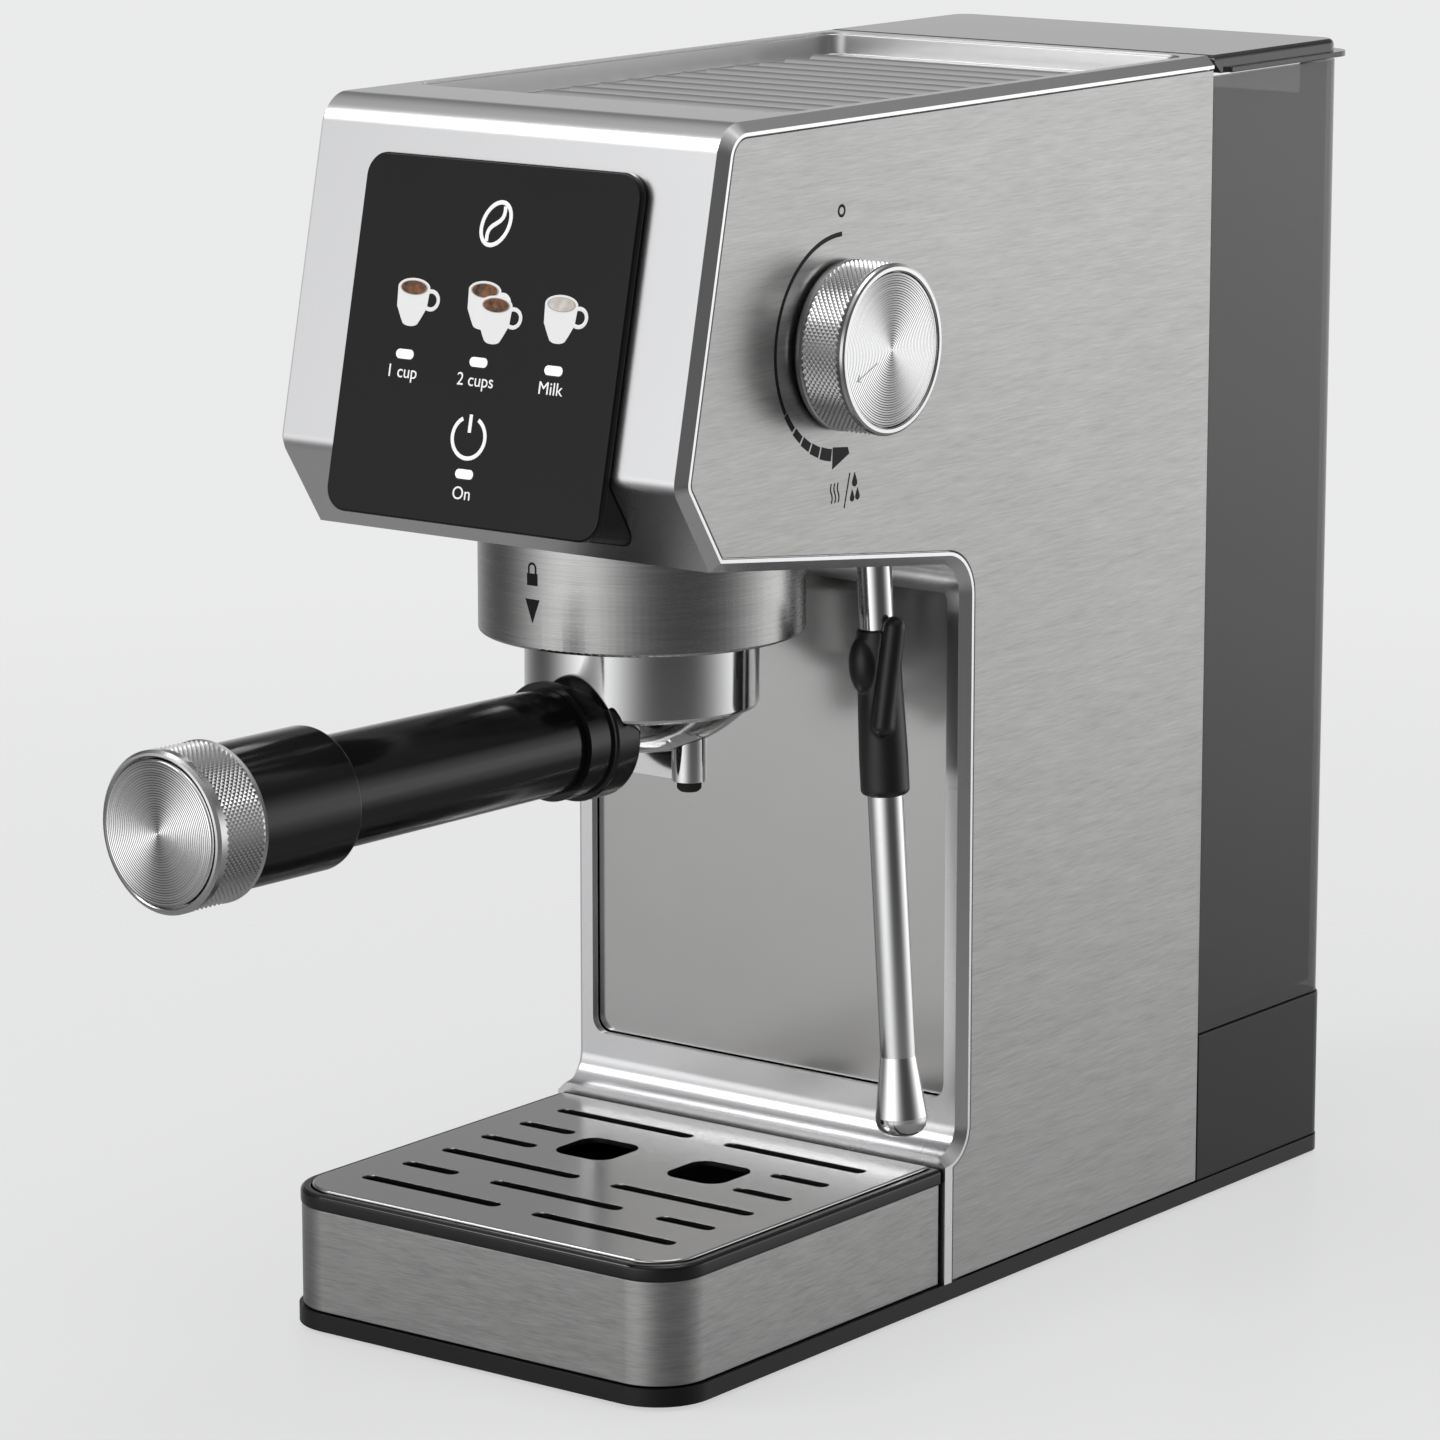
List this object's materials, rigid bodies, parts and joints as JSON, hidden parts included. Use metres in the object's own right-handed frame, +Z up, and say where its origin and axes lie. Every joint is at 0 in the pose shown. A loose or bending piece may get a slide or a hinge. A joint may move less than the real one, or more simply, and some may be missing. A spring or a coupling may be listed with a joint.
{
  "type": "espresso machine",
  "caption": "Slim pump espresso machine with portafilter, steam wand and knob, drip tray, cup warmer and a rear water tank with a hinged lid.",
  "frame": {"origin": "centre of the body's footprint on the worktop, midway between the tray's front and the tank's back", "axes": "+Z up, the front faces -Y, +X is the side with the steam knob"},
  "size_m": [0.1424, 0.4024, 0.31],
  "materials": {
    "black_base": "fine matt moulded plastic",
    "black_rubber": "matt rubber",
    "zinc_steel": "plated",
    "satin_casing": "satin silver",
    "mirror_steel": "near-mirror steel sheet",
    "brushed_steel": "brushed along the length",
    "brushed_skirt": "brushed round the tray",
    "brushed_ring": "brushed round its axis",
    "satin_steel": "satin",
    "grille_steel": "satin, with polished edges",
    "satin_casting": "as cast",
    "boiler_aluminium": "as cast",
    "grey_silicone": "silicone",
    "clear_silicone": "translucent silicone",
    "black_glass": "gloss black panel",
    "light_diffuser": "white diffuser",
    "circuit_board": "solder resist",
    "pump_plastic": "moulded",
    "valve_brass": "turned",
    "pipe_copper": "drawn tube",
    "polished_chrome": "polished",
    "gloss_black": "gloss",
    "knurled_aluminium": "knurled and bead-blasted",
    "spun_aluminium": "spun face",
    "smoky_tank": "smoky clear plastic",
    "lid_gloss": "gloss smoky black"
  },
  "bodies": {
    "machine": {"base_pan": "black_base", "rubber_feet": "black_rubber", "screws": "zinc_steel", "casing": "satin_casing", "backsplash": "mirror_steel", "side_panel_left": "brushed_steel", "side_panel_right": "brushed_steel", "cup_warmer_plate": "satin_steel", "back_wall": "black_base", "rear_base": "black_base", "tank_seat": "black_base", "cord_gland": "black_rubber", "control_panel": "black_glass", "indicator_lights": "light_diffuser", "control_housing": "black_base", "control_board": "circuit_board", "group_ring": "brushed_ring", "group_head": "satin_casting", "group_gasket": "grey_silicone", "shower_screen": "satin_steel", "screen_screw": "zinc_steel", "boiler": "boiler_aluminium", "thermostats": "light_diffuser", "pump": "pump_plastic", "pump_mounts": "black_rubber", "solenoid_valve": "pump_plastic", "power_board": "circuit_board", "steam_valve_body": "valve_brass", "inlet_hose": "clear_silicone", "copper_pipes": "pipe_copper", "wand_socket": "valve_brass"},
    "portafilter": {"portafilter_cup": "polished_chrome", "filter_basket": "satin_steel", "double_spout": "polished_chrome", "spout_tips": "black_rubber", "handle_stud": "zinc_steel", "handle_collar": "gloss_black", "handle_grip": "gloss_black", "handle_sleeve": "gloss_black", "handle_knurled_ring": "knurled_aluminium", "handle_cap": "spun_aluminium"},
    "steam_knob": {"knob_body": "knurled_aluminium", "knob_face": "spun_aluminium", "knob_hub": "black_base", "valve_spindle": "zinc_steel"},
    "wand_swivel": {"wand_swivel": "valve_brass"},
    "steam_wand": {"wand_ball": "polished_chrome", "wand_upper_tube": "polished_chrome", "wand_grip": "black_rubber", "froth_sleeve": "polished_chrome", "steam_nozzle": "gloss_black"},
    "drip_tray": {"tray_pan": "black_base", "tray_skirt": "brushed_skirt", "tray_rim": "gloss_black"},
    "grille": {"drip_grille": "grille_steel"},
    "water_tank": {"tank_shell": "smoky_tank", "tank_valve_cage": "black_base", "tank_valve_spring": "zinc_steel"},
    "tank_valve": {"tank_valve_poppet": "grey_silicone"},
    "lid": {"tank_lid": "lid_gloss"}
  },
  "joints": [
    {"name": "portafilter_turn", "type": "hinge", "parent": "machine", "child": "portafilter", "pos_m": [0, -0.0785, 0.18], "axis": [0, 0, 1], "range_deg": [-45, 0]},
    {"name": "steam_knob_turn", "type": "hinge", "parent": "machine", "child": "steam_knob", "pos_m": [0.063, -0.0808, 0.2532], "axis": [1, 0, 0], "range_deg": [-113, 67]},
    {"name": "wand_swivel_turn", "type": "hinge", "parent": "machine", "child": "wand_swivel", "pos_m": [0.047, -0.045, 0.197], "axis": [0, 0, 1], "range_deg": [-90, 20]},
    {"name": "wand_tilt", "type": "hinge", "parent": "wand_swivel", "child": "steam_wand", "pos_m": [0.047, -0.045, 0.197], "axis": [0, -1, 0], "range_deg": [-3.8, 25]},
    {"name": "tray_slide", "type": "slide", "parent": "machine", "child": "drip_tray", "axis": [0, -1, 0], "range_m": [0, 0.114]},
    {"name": "grille_lift", "type": "slide", "parent": "drip_tray", "child": "grille", "axis": [0, 0, 1], "range_m": [0, 0.008]},
    {"name": "tank_lift", "type": "slide", "parent": "machine", "child": "water_tank", "axis": [0, 0, 1], "range_m": [0, 0.27]},
    {"name": "tank_valve_travel", "type": "slide", "parent": "water_tank", "child": "tank_valve", "axis": [0, 0, 1], "range_m": [0, 0.002], "stiffness_N_per_m": 150, "springref_m": -0.003, "deforming": ["tank_valve_spring"]},
    {"name": "lid_hinge", "type": "hinge", "parent": "water_tank", "child": "lid", "pos_m": [0, 0.0882, 0.308], "axis": [1, 0, 0], "range_deg": [0, 95]}
  ]
}
